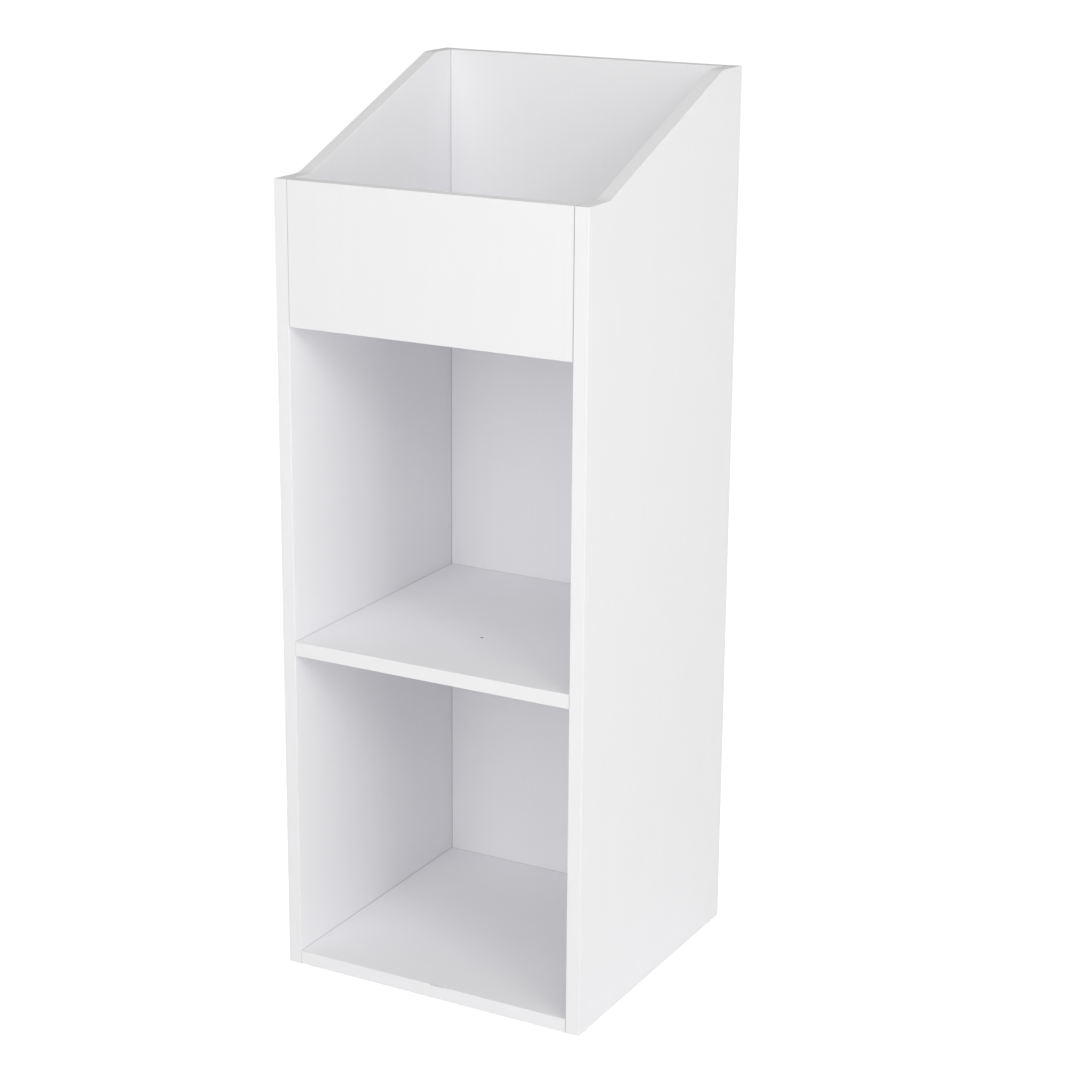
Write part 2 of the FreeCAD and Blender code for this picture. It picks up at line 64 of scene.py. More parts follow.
# %% Camera
AIM_HEIGHT = 0.524
CAMERA_DISTANCE = 2.854
CAMERA_AZIMUTH = math.radians(29.10)
CAMERA_ELEVATION = math.radians(15.84)
CAMERA_ROLL = math.radians(0.27)
CAMERA_LENS = 85.74
CAMERA_SENSOR = 36.0
CAMERA_SHIFT = (0.0276, -0.0311)
CAMERA_REACH = 200.0


def direction(azimuth, elevation):
    """A unit vector from the cabinet: azimuth 0 is its front, 90 degrees its right side."""
    level = math.cos(elevation)
    return Vector((math.sin(azimuth) * level, -math.cos(azimuth) * level, math.sin(elevation)))


def look_back(azimuth, elevation, distance, aim_height):
    """Where something stands and how it is turned, to look at the middle line."""
    outward = direction(azimuth, elevation)
    stand = outward * distance + Vector((0.0, 0.0, aim_height))
    turn = (-outward).to_track_quat("-Z", "Y").to_matrix().to_4x4()
    return Matrix.Translation(stand) @ turn


def add_camera():
    lens = bpy.data.cameras.new("studio_camera")
    lens.lens = CAMERA_LENS
    lens.sensor_width = CAMERA_SENSOR
    lens.shift_x, lens.shift_y = CAMERA_SHIFT
    lens.clip_end = CAMERA_REACH
    camera = bpy.data.objects.new("studio_camera", lens)
    stand = look_back(CAMERA_AZIMUTH, CAMERA_ELEVATION, CAMERA_DISTANCE, AIM_HEIGHT)
    camera.matrix_world = stand @ Matrix.Rotation(CAMERA_ROLL, 4, "Z")
    bpy.context.scene.collection.objects.link(camera)
    bpy.context.scene.camera = camera
    return camera


camera = add_camera()
print("camera at", [round(value, 3) for value in camera.matrix_world.translation])

# %% [markdown]
# ## Shader maths as plain expressions
# A finish is a small calculation that runs at every point of a surface. Wired by hand, the
# sums get lost among dozens of nodes. `Field` wraps one socket, so that `1 - mask * 0.5`
# adds its own Math nodes and reads like the formula it is. `Finish` is the material being
# made. Its one method `node` adds everything that isn't arithmetic, such as a noise or a
# colour mix: it takes the node's type, its settings, and what goes into its sockets.

# %% The two classes for finishes
class Field:
    """One socket of a finish. Arithmetic on it adds Math nodes."""

    def __init__(self, finish, socket):
        self.finish = finish
        self.socket = socket

    def maths(self, operation, *values):
        return self.finish.node("ShaderNodeMath", {"operation": operation},
                                dict(enumerate(values)))

    def __add__(self, other):
        return self.maths("ADD", self, other)

    def __radd__(self, other):
        return self.maths("ADD", other, self)

    def __sub__(self, other):
        return self.maths("SUBTRACT", self, other)

    def __rsub__(self, other):
        return self.maths("SUBTRACT", other, self)

    def __mul__(self, other):
        return self.maths("MULTIPLY", self, other)

    def __rmul__(self, other):
        return self.maths("MULTIPLY", other, self)

    def __gt__(self, other):
        return self.maths("GREATER_THAN", self, other)

    def __abs__(self):
        return self.maths("ABSOLUTE", self)


class Finish:
    """A material being made: its shader, and the place on the piece in metres."""

    def __init__(self, name, **fixed):
        self.material = bpy.data.materials.new(name)
        self.material.use_nodes = True
        self.tree = self.material.node_tree
        self.shader = self.tree.nodes["Principled BSDF"]
        for socket, value in fixed.items():
            self.shader.inputs[socket.replace("_", " ")].default_value = value
        self.place = self.node("ShaderNodeTexCoord", output="Object")

    def node(self, kind, settings=None, values=None, output=0):
        made = self.tree.nodes.new(kind)
        for name, setting in (settings or {}).items():
            if name == "stops":
                self.set_stops(made.color_ramp, setting)
            else:
                setattr(made, name, setting)
        for name, value in (values or {}).items():
            if isinstance(value, Field):
                self.tree.links.new(value.socket, made.inputs[name])
            else:
                made.inputs[name].default_value = value
        return Field(self, made.outputs[output])

    def set_stops(self, ramp, stops):
        while len(ramp.elements) < len(stops):
            ramp.elements.new(1.0)
        for element, (place, colour) in zip(ramp.elements, stops):
            element.position = place
            element.color = (*colour, 1.0)

    def feed(self, **fields):
        """Link what changes over the surface to the shader's own sockets."""
        for socket, field in fields.items():
            self.tree.links.new(field.socket, self.shader.inputs[socket.replace("_", " ")])
        return self.material


print("classes ready:", Field.__name__, Finish.__name__)

# %% [markdown]
# ## Textures measured in metres
# Every texture here starts from the place on the piece in metres, so a 0.4 mm grain is
# asked for as 0.4 mm. Image textures or unwrapped coordinates could do it too, but the
# boards have hundreds of small faces around their drillings, and a solid texture runs
# through all of them without seams, just as real chipboard does.

# %% Places and noises
ONE_GRAIN = 1.0
MIDDLE_GREY = (0.5, 0.5, 0.5)


def along(finish, axis):
    """How far along x (0), y (1) or z (2) the place is, in metres."""
    return finish.node("ShaderNodeSeparateXYZ", values={0: finish.place}, output=axis)


def on_axis(axis, along_it, elsewhere):
    """A size for each axis: one along the axis given, another on the other two."""
    sizes = [elsewhere] * 3
    sizes[axis] = along_it
    return tuple(sizes)


def stretched(finish, sizes, place=None):
    """The place divided by a grain size in metres for each axis."""
    scale = tuple(1.0 / size for size in sizes)
    return finish.node("ShaderNodeVectorMath", {"operation": "MULTIPLY"},
                       {0: place or finish.place, 1: scale})


def clouds(finish, size, detail=2.0, roughness=0.5):
    """Soft noise from 0 to 1. The size is one length, or one for each axis."""
    sizes = size if isinstance(size, tuple) else (size, size, size)
    values = {"Vector": stretched(finish, sizes), "Scale": ONE_GRAIN, "Detail": detail,
              "Roughness": roughness}
    return finish.node("ShaderNodeTexNoise", values=values)


def cells(finish, size, output="Distance", place=None):
    """Grains packed side by side, as distance from their middles or as random colours."""
    sizes = size if isinstance(size, tuple) else (size, size, size)
    values = {"Vector": stretched(finish, sizes, place), "Scale": ONE_GRAIN}
    return finish.node("ShaderNodeTexVoronoi", values=values, output=output)


def jostled(finish, size, reach):
    """The place pushed about at random, so that what is drawn there loses its order."""
    values = {"Vector": stretched(finish, (size, size, size)), "Scale": ONE_GRAIN, "Detail": 2.0}
    push = finish.node("ShaderNodeTexNoise", values=values, output="Color")
    push = finish.node("ShaderNodeVectorMath", {"operation": "SUBTRACT"},
                       {0: push, 1: MIDDLE_GREY})
    push = finish.node("ShaderNodeVectorMath", {"operation": "SCALE"}, {0: push, "Scale": reach})
    return finish.node("ShaderNodeVectorMath", {"operation": "ADD"}, {0: finish.place, 1: push})


print("noises ready, in metres; one grain is", ONE_GRAIN, "of its own size")

# %% [markdown]
# ## From a noise to a colour or a height
# A noise alone is a grey mist. A range with smooth ends picks out the part of it that
# matters, such as only the darkest spots. A mix or a ramp turns that into colour, and a
# Bump turns it into a surface normal. Bump is right for what is too fine to be geometry,
# such as embossing, grain and scratches of a few hundredths of a millimetre.

# %% Ranges, mixes and relief
def between(finish, field, low, high):
    """0 below low, 1 above high, and a smooth rise from one to the other."""
    values = {"Value": field, "From Min": low, "From Max": high}
    settings = {"interpolation_type": "SMOOTHSTEP"}
    return finish.node("ShaderNodeMapRange", settings, values)


def blended(finish, first, second, mask):
    """The first colour where the mask is 0, the second where it is 1."""
    first = (*first, 1.0) if isinstance(first, tuple) else first
    second = (*second, 1.0) if isinstance(second, tuple) else second
    return finish.node("ShaderNodeMix", {"data_type": "RGBA"}, {0: mask, 6: first, 7: second}, 2)


def tones(finish, field, stops):
    """A colour for each value of a field, by a ramp."""
    return finish.node("ShaderNodeValToRGB", {"stops": stops}, {"Fac": field})


def relief(finish, height, depth):
    """Height from 0 to 1, standing for a depth in metres, as a surface normal."""
    return finish.node("ShaderNodeBump", values={"Height": height, "Distance": depth})


print("helpers ready:", between.__name__, blended.__name__, tones.__name__, relief.__name__)

# %% [markdown]
# ## The light
# The compartments should stay almost as bright as the front, so the light has to reach deep
# inside: wide soft lamps stand in front, two of them low. Three smaller ones draw the
# soft-edged shadows on the shelves, three weak ones behind keep the back readable, and a dim
# dome fills in. The lamps are a touch warm and the melamine a touch cool: one bounce comes
# out neutral, and the many bounces inside a compartment turn slightly blue, as they do in a
# real white box. The view's gamma acts like a camera's soft tone curve, which keeps detail
# in nearly white surfaces.

# %% Dome and lamps
LAMP_COLOUR = (1.0, 1.0105, 0.958)
LAMP_DISTANCE = 4.5
WIDE = 2.6
SMALL = 1.3
LAMPS = {
    "front_lamp": (4, 30, WIDE, 38),
    "low_front_lamp": (4, 8, WIDE, 31),
    "low_side_lamp": (73, 8, WIDE, 69),
    "high_lamp": (30, 62, SMALL, 20),
    "small_front_lamp": (28, 30, SMALL, 16),
    "small_side_lamp": (55, 28, SMALL, 32),
    "rear_lamp": (180, 25, WIDE, 16),
    "rear_left_lamp": (250, 20, WIDE, 16),
    "rear_right_lamp": (135, 20, WIDE, 10),
}
DOME_STRENGTH = 0.2
VIEW_GAMMA = 1.3


def add_dome():
    dome = bpy.data.worlds.new("studio_dome")
    dome.use_nodes = True
    backdrop = dome.node_tree.nodes["Background"]
    backdrop.inputs["Color"].default_value = (*LAMP_COLOUR, 1.0)
    backdrop.inputs["Strength"].default_value = DOME_STRENGTH
    bpy.context.scene.world = dome


def add_lamp(name, azimuth, elevation, size, watts):
    """A square soft lamp that looks at the cabinet's middle line."""
    lamp = bpy.data.lights.new(name, "AREA")
    lamp.shape = "SQUARE"
    lamp.size = size
    lamp.energy = watts
    lamp.color = LAMP_COLOUR
    stand = bpy.data.objects.new(name, lamp)
    stand.matrix_world = look_back(math.radians(azimuth), math.radians(elevation),
                                   LAMP_DISTANCE, AIM_HEIGHT)
    bpy.context.scene.collection.objects.link(stand)


add_dome()
for lamp_name, (azimuth, elevation, size, watts) in LAMPS.items():
    add_lamp(lamp_name, azimuth, elevation, size, watts)
bpy.context.scene.view_settings.view_transform = "Standard"
bpy.context.scene.view_settings.gamma = VIEW_GAMMA
print("lamps:", len(LAMPS), "dome:", DOME_STRENGTH)

# %% [markdown]
# ## The floor
# White furniture stands here on one large white sheet, with white walls far behind it that
# close the horizon in low views. An image or a bright world could do that too, but then the
# cabinet would stand on nothing. The sheets glow a little to stay white. Light linking keeps
# the floor's glow to the floor itself, because on the cabinet it would brighten the outside
# and leave the compartments dark. The walls only show: they light nothing and block nothing,
# so that the dome's light still comes in from all round.

# %% Floor
FLOOR_SIZE = 60.0
FLOOR_COLOUR = (0.90, 0.90, 0.93)
FLOOR_SHADE = (0.885, 0.885, 0.915)
FLOOR_PATCH = 0.9
FLOOR_GLOW = 0.88
GLOW_COLOUR = (1.0, 1.0, 1.0)
BACKDROP_HEIGHT = 30.0
BACKDROP_GLOW = 1.1


def white_paper(name, glow):
    finish = Finish(name, Roughness=0.9, Specular_IOR_Level=0.1,
                    Emission_Color=(*GLOW_COLOUR, 1.0), Emission_Strength=glow)
    paper = clouds(finish, FLOOR_PATCH, 3.0)
    return finish.feed(Base_Color=blended(finish, FLOOR_COLOUR, FLOOR_SHADE, paper))


def add_sheet(name, corners, faces, glow):
    """A white sheet of the studio, whose glow lights nothing but itself."""
    mesh = bpy.data.meshes.new(name)
    mesh.from_pydata(corners, [], faces)
    mesh.materials.append(white_paper(name, glow))
    sheet = bpy.data.objects.new(name, mesh)
    bpy.context.scene.collection.objects.link(sheet)
    lit_by_glow = bpy.data.collections.new("lit_by_" + name)
    lit_by_glow.objects.link(sheet)
    sheet.light_linking.receiver_collection = lit_by_glow
    return sheet


def add_floor():
    half = FLOOR_SIZE / 2
    low = [(-half, -half, 0), (half, -half, 0), (half, half, 0), (-half, half, 0)]
    high = [(x, y, BACKDROP_HEIGHT) for x, y, z in low]
    walls = [(0, 1, 5, 4), (1, 2, 6, 5), (2, 3, 7, 6), (3, 0, 4, 7)]
    add_sheet("studio_floor", low, [(0, 1, 2, 3)], FLOOR_GLOW)
    backdrop = add_sheet("studio_backdrop", low + high, walls, BACKDROP_GLOW)
    backdrop.visible_shadow = False
    backdrop.visible_diffuse = False
    backdrop.visible_glossy = False
    backdrop.active_material.cycles.emission_sampling = "NONE"


add_floor()
print("floor:", FLOOR_SIZE, "m square; walls:", BACKDROP_HEIGHT, "m high")

# %% [markdown]
# ## The boards
# The cabinet is made of seven boards of 16 mm chipboard. Their big faces, sawn ends and
# drillings need different colours, and one material can tell them apart by place alone, so
# this step only sorts the boards and finds each one's thinnest axis. Assigning a material
# to every face by hand would do it too, but the boards have hundreds of small faces.

# %% Boards and their axes
X, Y, Z = 0, 1, 2
SIDE_BOARDS = ["left_side_board", "right_side_board"]
LEVEL_BOARDS = ["bin_floor_board", "middle_shelf_board", "bottom_board"]
CROSSWISE_BOARDS = LEVEL_BOARDS + ["back_board", "bin_front_board"]


def thin_axis(low, high):
    sizes = list(high - low)
    return sizes.index(min(sizes))


# %% [markdown]
# ## Raw chipboard
# Chipboard is pressed from wood particles: fine ones in the two outer layers, coarse ones
# between, all lying flat, with small dark gaps in the coarse layer. A Voronoi texture packs
# cells like that, and a ramp over its random colours gives every chip its own brown. The
# place is pushed about by a noise first, because plain Voronoi cells look like a mosaic.

# %% Chipboard
FINE_LAYER = 2.2 * MM
COARSE_CHIP = (0.8 * MM, 3.0 * MM)
FINE_CHIP = (0.4 * MM, 0.8 * MM)
CHIP_JOSTLE = (1.3 * MM, 1.8 * MM)
FIBRE = 0.25 * MM
GAP_EDGE = (0.55, 0.85)
CHIP_LIGHT = (0.62, 0.46, 0.29)
CHIP_MIDDLE = (0.42, 0.28, 0.16)
CHIP_DARK = (0.24, 0.15, 0.08)
CHIP_PALE = (0.72, 0.58, 0.40)
CHIP_GAP = (0.10, 0.06, 0.035)
CHIP_STOPS = [(0.0, CHIP_DARK), (0.25, CHIP_MIDDLE), (0.7, CHIP_LIGHT), (1.0, CHIP_PALE)]


def chipboard(finish, depth, axis):
    """The colour of the core, and 1 where a gap between coarse chips is."""
    coarse = on_axis(axis, *COARSE_CHIP)
    fine = on_axis(axis, *FINE_CHIP)
    lie = jostled(finish, *CHIP_JOSTLE)
    inner = between(finish, depth, FINE_LAYER * 0.7, FINE_LAYER * 1.3)
    coarse_tone = tones(finish, cells(finish, coarse, "Color", lie), CHIP_STOPS)
    fine_tone = tones(finish, cells(finish, fine, "Color", lie), CHIP_STOPS)
    chips = blended(finish, fine_tone, coarse_tone, inner)
    chips = blended(finish, chips, CHIP_MIDDLE, clouds(finish, FIBRE) * 0.6)
    gaps = between(finish, cells(finish, coarse, place=lie), *GAP_EDGE) * inner
    return blended(finish, chips, CHIP_GAP, gaps * 0.7), gaps


thickness, length = (round(size / MM, 1) for size in COARSE_CHIP)
print("coarse chips:", length, "mm long,", thickness, "mm thick")

# %% [markdown]
# ## Seams and the pilot hole
# Where a board's sawn end butts against its neighbour, the skin is slightly chipped and
# holds dirt, and the narrow gap holds shade, so a thin dark line of dirt and painted shade
# marks every joint. The small pilot hole in the middle shelf has a torn, dirty rim, and its
# inside is painted dark as shade. Both could be modelled, but they are about a millimetre
# wide and it is their darkness that shows, so each is a mask made from a distance.

# %% Masks for seams and the pilot hole
PILOT_BEHIND_FRONT = 115 * MM
PILOT_TEAR = 0.9 * MM
PILOT_TEAR_GRAIN = 0.8 * MM
PILOT_RIM = (1.4 * MM, 1.9 * MM)


def joint_line(finish, node, high, width):
    """1 in a thin line along the sawn ends that butt against another board, else 0."""
    to_end = high.x - abs(along(finish, X))
    if node in LEVEL_BOARDS:
        to_end = to_end.maths("MINIMUM", to_end, high.y - along(finish, Y))
    return 1 - between(finish, to_end, width * 0.3, width)


def pilot_burr_and_shade(finish):
    """1 on the rim of the pilot hole, where the drill tore the skin and left dirt, and inside
    the hole, where it is painted shade.
    """
    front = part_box("middle_shelf_front_edge_band")[0].y
    flat = finish.node("ShaderNodeVectorMath", {"operation": "MULTIPLY"},
                       {0: finish.place, 1: (1.0, 1.0, 0.0)})
    reach = finish.node("ShaderNodeVectorMath", {"operation": "DISTANCE"},
                        {0: flat, 1: (0.0, front + PILOT_BEHIND_FRONT, 0.0)}, "Value")
    torn = clouds(finish, PILOT_TEAR_GRAIN) * PILOT_TEAR
    return 1 - between(finish, reach - torn, *PILOT_RIM)


print("pilot hole:", round(PILOT_BEHIND_FRONT / MM), "mm behind the shelf's front edge")

# %% [markdown]
# ## White melamine on chipboard
# A melamine skin on the two big faces is satin and finely embossed, and it hides nothing
# completely: the particles below make it very slightly uneven. Wherever a board was sawn or
# drilled, the brown core shows. One material can do both, because the skin is simply what
# lies within 0.2 mm of a big face. Measured along the thinnest axis of a board, that also
# lines every drilled hole with a fine white rim, as a real one has.

# %% Melamine boards
SKIN_THICKNESS = 0.2 * MM
BOARD_SEAM = 1.0 * MM
WHITE = (0.860, 0.851, 0.898)
WHITE_SHADE = (0.845, 0.836, 0.884)
SPECK = (0.42, 0.40, 0.37)
JOINT_DIRT_AND_SHADE = (0.27, 0.26, 0.27)
PILOT_SHADE = (0.13, 0.10, 0.08)
SMUDGE = 90 * MM
EMBOSSING = 0.45 * MM
PARTICLE_TELEGRAPH = 5.5 * MM
DRAWN_STREAK = (5 * MM, 5 * MM, 350 * MM)
SPECK_SPACING = 46 * MM
SPECK_EDGE = (0.004, 0.0065)
SPECK_STRENGTH = 0.55
SEAM_STRENGTH = 0.8
PILOT_STRENGTH = 0.75
SOFT_RANGE = (0.3, 0.7)
SKIN_ROUGHNESS = 0.40
CORE_ROUGHNESS = 0.85
CORE_PIT = 0.7 * MM
BOARD_RELIEF = 0.05 * MM


def white_skin(finish, node, high, smudges):
    """The skin's colour: almost even, with faint streaks, a few specks, and seams darkened by
    dirt and painted shade.
    """
    drawn = between(finish, clouds(finish, DRAWN_STREAK), *SOFT_RANGE)
    white = blended(finish, WHITE, WHITE_SHADE, smudges * 0.5 + drawn * 0.5)
    specks = 1 - between(finish, cells(finish, SPECK_SPACING), *SPECK_EDGE)
    white = blended(finish, white, SPECK, specks * SPECK_STRENGTH)
    if node in CROSSWISE_BOARDS:
        # The dark joint line is dirt in the chipped skin plus painted shade from the gap between
        # boards.
        seams = joint_line(finish, node, high, BOARD_SEAM)
        white = blended(finish, white, JOINT_DIRT_AND_SHADE, seams * SEAM_STRENGTH)
    return white


def melamine_board(node):
    low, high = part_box(node)
    axis = thin_axis(low, high)
    finish = Finish(node + "_melamine", IOR=1.5)
    middle = (low[axis] + high[axis]) / 2
    half = (high[axis] - low[axis]) / 2
    depth = half - abs(along(finish, axis) - middle)
    core = depth > SKIN_THICKNESS

    smudges = between(finish, clouds(finish, SMUDGE, 3.0, 0.6), *SOFT_RANGE)
    grain = clouds(finish, EMBOSSING, 1.0)
    telegraph = clouds(finish, PARTICLE_TELEGRAPH)
    chips, gaps = chipboard(finish, depth, axis)
    colour = blended(finish, white_skin(finish, node, high, smudges), chips, core)
    if node == "middle_shelf_board":
        # Dirt on the torn rim and painted shade inside the pilot hole.
        colour = blended(finish, colour, PILOT_SHADE, pilot_burr_and_shade(finish) * PILOT_STRENGTH)
    skin_roughness = SKIN_ROUGHNESS + smudges * 0.12 + grain * 0.05
    roughness = skin_roughness + core * (CORE_ROUGHNESS - skin_roughness)
    skin_height = grain * 0.35 + telegraph * 0.65
    core_height = clouds(finish, CORE_PIT) * 6 - gaps * 8
    height = skin_height + core * (core_height - skin_height)
    normal = relief(finish, height, BOARD_RELIEF)
    return finish.feed(Base_Color=colour, Roughness=roughness, Normal=normal)


def cover(node, material):
    """Give a CAD node one finish, in the material slots that it came with."""
    slots = cad_nodes[node].data.materials
    for index in range(len(slots)):
        slots[index] = material


for board in SIDE_BOARDS + CROSSWISE_BOARDS:
    cover(board, melamine_board(board))
    print("melamine on", board)

# %% [markdown]
# ## Edge bands
# The sawn edges are closed with a 0.8 mm plastic band, glued on, trimmed and rounded. It
# is a touch smoother and brighter than the skin. The scraper that flushes it leaves fine
# marks along its length, and years of sleeves and books polish its two arrises. The marks
# only need to change fast across the band and hardly at all along it, so one noise,
# squeezed in the right axis, makes them.

# %% Edge bands
BAND_WHITE = (0.870, 0.861, 0.907)
BAND_WORN = (0.80, 0.791, 0.822)
TIGHT_JOINT = 0.3 * MM
USUAL_JOINT = 0.7 * MM
SCRAPER_MARK = (0.35 * MM, 220 * MM)
BAND_SMUDGE = 60 * MM
WORN_PATCH = 14 * MM
WORN_ARRIS = (0.2 * MM, 0.9 * MM)
BAND_SEAM_STRENGTH = 0.7
BAND_ROUGHNESS = 0.36
BAND_RELIEF = 0.006 * MM
MARK_FROM = -1 * MM
MARK_TO = 32 * MM
MARK_FADES = (3 * MM, 24 * MM)
MARK_BREAK = 1.6 * MM
MARK_BELOW_TOP = (0.5 * MM, 1.4 * MM)
MARK_STRENGTH = 0.95
MARK_DARK = (0.30, 0.29, 0.29)


def rub_mark(finish, high):
    """A short dark scuff on the top arris, where something was dragged over it."""
    x = along(finish, X)
    below_top = high.z - along(finish, Z)
    inside = between(finish, x, MARK_FROM, MARK_FROM + MARK_FADES[0])
    inside = inside * (1 - between(finish, x, MARK_TO - MARK_FADES[1], MARK_TO))
    broken = between(finish, clouds(finish, MARK_BREAK, 3.0), 0.35, 0.6)
    on_arris = 1 - between(finish, below_top, *MARK_BELOW_TOP)
    return inside * broken * on_arris * MARK_STRENGTH


def edge_band(node, across):
    """across is the axis of the band's 16 mm width."""
    low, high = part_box(node)
    finish = Finish(node + "_plastic", IOR=1.5)
    middle = (low[across] + high[across]) / 2
    half = (high[across] - low[across]) / 2
    to_arris = half - abs(along(finish, across) - middle)
    scraped = clouds(finish, on_axis(across, *SCRAPER_MARK))
    smudges = clouds(finish, BAND_SMUDGE, 3.0, 0.6)
    patchy = between(finish, clouds(finish, WORN_PATCH, 3.0), 0.42, 0.7)
    rubbed = (1 - between(finish, to_arris, *WORN_ARRIS)) * patchy
    colour = blended(finish, BAND_WHITE, BAND_WORN, rubbed * 0.55 + smudges * 0.15)
    if across != X:
        width = TIGHT_JOINT if node.startswith("middle_shelf") else USUAL_JOINT
        # The same dark joint line of dirt and painted shade, where the band's end meets a side
        # board.
        seams = joint_line(finish, node, high, width)
        colour = blended(finish, colour, JOINT_DIRT_AND_SHADE, seams * BAND_SEAM_STRENGTH)
    if node == "bottom_board_front_edge_band":
        colour = blended(finish, colour, MARK_DARK, rub_mark(finish, high))
    roughness = BAND_ROUGHNESS + smudges * 0.10 + scraped * 0.05 - rubbed * 0.10
    normal = relief(finish, scraped, BAND_RELIEF)
    return finish.feed(Base_Color=colour, Roughness=roughness, Normal=normal)


BAND_WIDTH_AXIS = {"left_side": X, "right_side": X, "back_board_top": Y, "bin_front": Y,
                   "bottom_board": Z, "middle_shelf": Z}
bands = sorted(name for name in cad_nodes if name.endswith("_edge_band"))
for band in bands:
    across = next(axis for start, axis in BAND_WIDTH_AXIS.items() if band.startswith(start))
    cover(band, edge_band(band, across))
print("edge bands:", len(bands))

# %% [markdown]
# ## Where the fittings are
# Caps, dowels and bolts get finer shapes than the CAD model's. Each new one has to sit just
# where the CAD one does, and a list of typed-in places could be wrong or go out of date. So
# the places are measured: a node's mesh falls apart into separate pieces, and the box round
# each piece gives the place of its axis and of its ends.

# %% Finding the pieces of a node
SAME_POINT = 0.002 * MM


def piece_boxes(node):
    """The lowest and highest corner of every separate piece in a CAD node."""
    work = bmesh.new()
    work.from_mesh(cad_nodes[node].data)
    bmesh.ops.remove_doubles(work, verts=work.verts, dist=SAME_POINT)
    seen = set()
    boxes = []
    for first in work.verts:
        if first in seen:
            continue
        seen.add(first)
        piece = [first]
        for vert in piece:
            for edge in vert.link_edges:
                other = edge.other_vert(vert)
                if other not in seen:
                    seen.add(other)
                    piece.append(other)
        low = Vector([min(vert.co[axis] for vert in piece) for axis in range(3)])
        high = Vector([max(vert.co[axis] for vert in piece) for axis in range(3)])
        boxes.append((low, high))
    work.free()
    return sorted(boxes, key=lambda box: [round(value, 4) for value in box[0]])


print("caps on the back:", len(piece_boxes("back_board_cam_caps")))

# %% [markdown]
# ## Turning a mesh from a profile
# Bolts, dowels and caps are round about an axis. Blender's Screw modifier could spin their
# outlines, but a spun outline is round everywhere, and these are not: a dowel has flutes,
# a bolt has a thread that climbs, a cap has a cross-shaped peg. So each is built in bmesh
# from rows of points, where a row's radius may be a number or a function of the angle.
# All the fittings of one CAD node become one object, which then stands for that node.

# %% Helpers for turned fittings
SHARP_ANGLE = math.radians(38)


def turned(work, profile, around, place):
    """Add a turned piece. The profile is rows of (distance along the axis, radius)."""
    rows = []
    for reach, radius in profile:
        if radius == 0.0:
            rows.append([work.verts.new(place @ Vector((0.0, 0.0, reach)))])
            continue
        row = []
        for step in range(around):
            angle = 2 * math.pi * step / around
            out = radius(angle) if callable(radius) else radius
            spot = Vector((out * math.cos(angle), out * math.sin(angle), reach))
            row.append(work.verts.new(place @ spot))
        rows.append(row)
    for lower, upper in zip(rows, rows[1:]):
        for step in range(around):
            after = (step + 1) % around
            corners = [lower[step % len(lower)], lower[after % len(lower)],
                       upper[after % len(upper)], upper[step % len(upper)]]
            work.faces.new(list(dict.fromkeys(corners)))


def cross(length, width):
    """The outline of a driver cross, as a radius for each angle."""
    corner = math.atan2(width, length)

    def radius(angle):
        from_arm = abs((angle + math.pi / 4) % (math.pi / 2) - math.pi / 4)
        if from_arm <= corner:
            return length / 2 / math.cos(from_arm)
        return width / 2 / math.sin(from_arm)

    return radius


def axis_place(start, axis):
    """Turn a piece's own z axis along the axis given, and move its start there."""
    return Matrix.Translation(start) @ axis.to_track_quat("Z", "Y").to_matrix().to_4x4()


def mount_fitting(work, node, material):
    """Make one object of a whole set, and let it stand for its CAD node."""
    bmesh.ops.recalc_face_normals(work, faces=work.faces)
    mesh = bpy.data.meshes.new(node + "_made")
    work.to_mesh(mesh)
    work.free()
    mesh.shade_smooth()
    mesh.set_sharp_from_angle(angle=SHARP_ANGLE)
    mesh.materials.append(material)
    piece = bpy.data.objects.new(node + "_made", mesh)
    bpy.context.scene.collection.objects.link(piece)
    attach(piece, "root")
    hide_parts(node)
    print(node, "faces:", len(mesh.polygons))


print("edges sharper than", round(math.degrees(SHARP_ANGLE)), "degrees stay sharp")

# %% [markdown]
# ## Cover caps
# A press-in cap hides each cam that would show: two inside the bin and six on the back.
# It is a thin moulded disc with a soft rim and a very low dome, and a cross-shaped peg
# that grips the cam's driver recess. Its plastic is a little warmer than the melamine and
# has the fine, even roughness of a spark-eroded mould. Both shapes come from one profile:
# the rows under the disc simply change from a circle to the outline of the cross.

# %% Cover caps
CAP_THICKNESS = 0.9 * MM
CAP_PEG_LENGTH = 2.1 * MM
CAP_CROSS = (5.0 * MM, 0.9 * MM)
CAP_DOME = 0.22 * MM
CAP_RIM = 0.5 * MM
CAP_STEPS = 6
CAP_AROUND = 72
CAP_TAPER = (0.9, 0.8)
CAP_SPARK = 0.22 * MM
CAP_FLOW = 7 * MM
CAP_RUBBED = 3.5 * MM
CAP_RELIEF = 0.018 * MM
CAP_WHITE = (0.835, 0.828, 0.835)
CAP_SHADE = (0.80, 0.79, 0.785)


def cap_plastic():
    finish = Finish("cap_plastic", IOR=1.48)
    sparked = clouds(finish, CAP_SPARK, 1.0)
    flow = clouds(finish, CAP_FLOW, 3.0)
    rubbed = between(finish, clouds(finish, CAP_RUBBED, 4.0, 0.7), 0.58, 0.72)
    colour = blended(finish, CAP_WHITE, CAP_SHADE, flow)
    roughness = 0.46 + sparked * 0.10 - rubbed * 0.14
    return finish.feed(Base_Color=colour, Roughness=roughness,
                       Normal=relief(finish, sparked, CAP_RELIEF))


